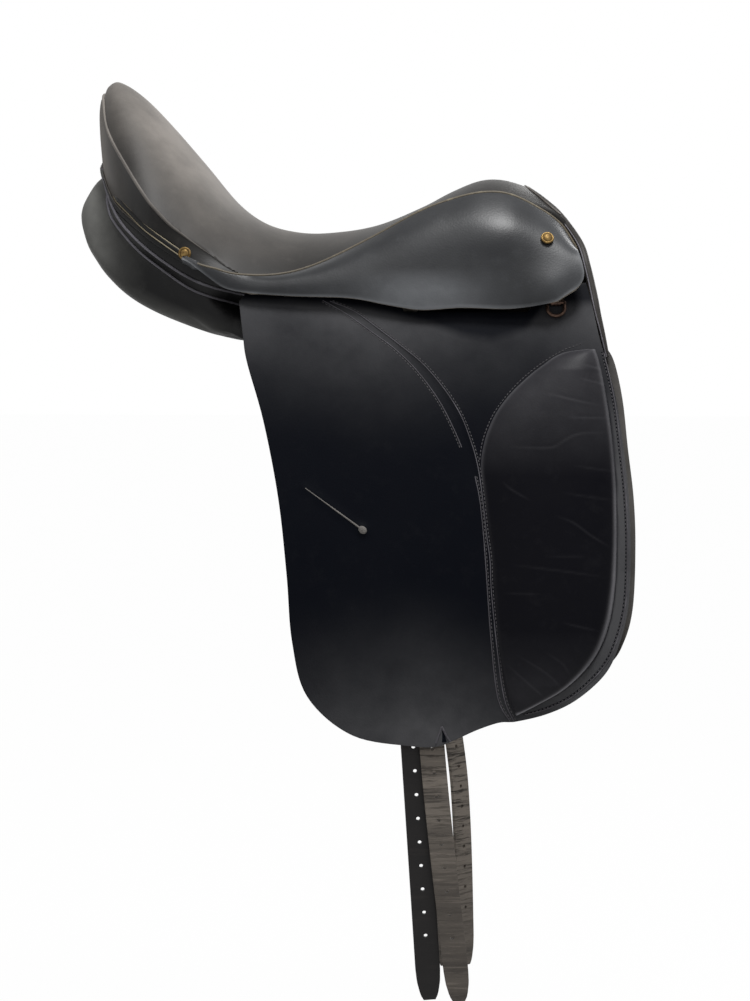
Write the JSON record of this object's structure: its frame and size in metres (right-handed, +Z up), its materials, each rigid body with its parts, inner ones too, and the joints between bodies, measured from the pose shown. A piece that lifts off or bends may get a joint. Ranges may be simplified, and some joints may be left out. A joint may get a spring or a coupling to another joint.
{
  "type": "dressage saddle",
  "caption": "Leather dressage saddle: deep padded seat on a spring tree, lifting skirts and long flaps with knee rolls, flocked panels and hanging girth straps.",
  "frame": {"origin": "on the middle plane, at the roof of the channel under the lowest point of the seat", "axes": "+X forward to the pommel, +Y to the left side, +Z up; the straps hang along -Z"},
  "size_m": [0.5372, 0.4432, 0.9365],
  "materials": {
    "tree_wood": "bare laminated beech",
    "spring_steel": "oiled spring steel",
    "rivet_steel": "plain",
    "bar_steel": "forged and polished",
    "linen_web": "woven linen",
    "foam": "open-cell foam",
    "seat_leather": "smooth, lightly polished",
    "welt_leather": "rubbed to the hide",
    "skirt_leather": "smooth, lightly polished",
    "flap_leather": "smooth, worn satin",
    "knee_leather": "soft, creased",
    "panel_leather": "soft matt",
    "lining_leather": "flesh side out",
    "strap_leather": "worn, cracked",
    "felt": "pressed felt",
    "wool": "flocked wool",
    "brass": "dull brass"
  },
  "bodies": {
    "tree": {"tree_head": "tree_wood", "tree_rail_right": "tree_wood", "tree_rail_left": "tree_wood", "tree_cantle": "tree_wood", "gullet_plate": "spring_steel", "head_rivets": "rivet_steel", "tree_springs": "spring_steel", "strainer_web": "linen_web", "cross_webs": "linen_web", "seat_foam": "foam", "seat_cover": "seat_leather", "cantle_facing": "seat_leather", "cantle_welt": "welt_leather", "seat_welt_right": "welt_leather", "seat_welt_left": "welt_leather", "head_cover": "seat_leather", "skirt_top_right": "skirt_leather", "skirt_top_left": "skirt_leather", "flap_top_right": "flap_leather", "flap_top_left": "flap_leather", "flap_packing_right": "felt", "flap_packing_left": "felt", "flap_nails": "rivet_steel", "saddle_nails": "brass", "girth_tab_right": "strap_leather", "girth_tab_left": "strap_leather", "strap_studs": "rivet_steel", "stirrup_bar_right": "bar_steel", "stirrup_bar_left": "bar_steel", "bar_rivets": "rivet_steel", "catch_pins": "rivet_steel", "panel_cover_right": "panel_leather", "panel_cover_left": "panel_leather", "panel_flock_right": "wool", "panel_flock_left": "wool", "point_pocket_right": "lining_leather", "point_pocket_left": "lining_leather", "sweat_flap_right": "lining_leather", "sweat_flap_left": "lining_leather", "dee_staple_right": "brass", "dee_staple_left": "brass"},
    "skirt_right": {"skirt_right": "skirt_leather"},
    "flap_right": {"flap_right": "flap_leather", "knee_roll_right": "foam", "knee_cover_right": "knee_leather"},
    "strap_right_rear": {"strap_right_rear": "strap_leather"},
    "strap_right_front": {"strap_right_front": "strap_leather"},
    "stirrup_catch_right": {"stirrup_catch_right": "bar_steel"},
    "dee_ring_right": {"dee_ring_right": "brass"},
    "skirt_left": {"skirt_left": "skirt_leather"},
    "flap_left": {"flap_left": "flap_leather", "knee_roll_left": "foam", "knee_cover_left": "knee_leather"},
    "strap_left_rear": {"strap_left_rear": "strap_leather"},
    "strap_left_front": {"strap_left_front": "strap_leather"},
    "stirrup_catch_left": {"stirrup_catch_left": "bar_steel"},
    "dee_ring_left": {"dee_ring_left": "brass"}
  },
  "joints": [
    {"name": "skirt_left_lift", "type": "hinge", "parent": "tree", "child": "skirt_left", "pos_m": [-0.06, 0.128, 0.028], "axis": [0.9877, -0.1072, 0.1137], "range_deg": [0, 70]},
    {"name": "skirt_right_lift", "type": "hinge", "parent": "tree", "child": "skirt_right", "pos_m": [-0.06, -0.128, 0.028], "axis": [-0.9877, -0.1072, -0.1137], "range_deg": [0, 70]},
    {"name": "flap_left_lift", "type": "hinge", "parent": "tree", "child": "flap_left", "pos_m": [0.09312, 0.12068, -0.02], "axis": [0.9945, -0.1045, 0], "range_deg": [0, 70]},
    {"name": "flap_right_lift", "type": "hinge", "parent": "tree", "child": "flap_right", "pos_m": [0.09312, -0.12068, -0.02], "axis": [-0.9945, -0.1045, 0], "range_deg": [0, 70]},
    {"name": "strap_left_rear_swing", "type": "hinge", "parent": "tree", "child": "strap_left_rear", "pos_m": [0.06036, 0.09595, 0.005], "axis": [0.1045, 0.9945, 0], "range_deg": [-5, 5]},
    {"name": "strap_right_rear_swing", "type": "hinge", "parent": "tree", "child": "strap_right_rear", "pos_m": [0.06036, -0.09595, 0.005], "axis": [-0.1045, 0.9945, 0], "range_deg": [-5, 5]},
    {"name": "strap_left_front_swing", "type": "hinge", "parent": "tree", "child": "strap_left_front", "pos_m": [0.08299, 0.10078, 0.005], "axis": [0.1045, 0.9945, 0], "range_deg": [-5, 5]},
    {"name": "strap_right_front_swing", "type": "hinge", "parent": "tree", "child": "strap_right_front", "pos_m": [0.08299, -0.10078, 0.005], "axis": [-0.1045, 0.9945, 0], "range_deg": [-5, 5]},
    {"name": "catch_left_turn", "type": "hinge", "parent": "tree", "child": "stirrup_catch_left", "pos_m": [0.084, 0.0852, 0.04897], "axis": [0, 0.8016, 0.5978], "range_deg": [0, 80]},
    {"name": "catch_right_turn", "type": "hinge", "parent": "tree", "child": "stirrup_catch_right", "pos_m": [0.084, -0.0852, 0.04897], "axis": [0, 0.8016, -0.5978], "range_deg": [0, 80]},
    {"name": "dee_left_swing", "type": "hinge", "parent": "tree", "child": "dee_ring_left", "pos_m": [0.22537, 0.09698, 0.0109], "axis": [0.9945, -0.1045, 0], "range_deg": [0, 50]},
    {"name": "dee_right_swing", "type": "hinge", "parent": "tree", "child": "dee_ring_right", "pos_m": [0.22537, -0.09698, 0.0109], "axis": [-0.9945, -0.1045, 0], "range_deg": [0, 50]}
  ]
}
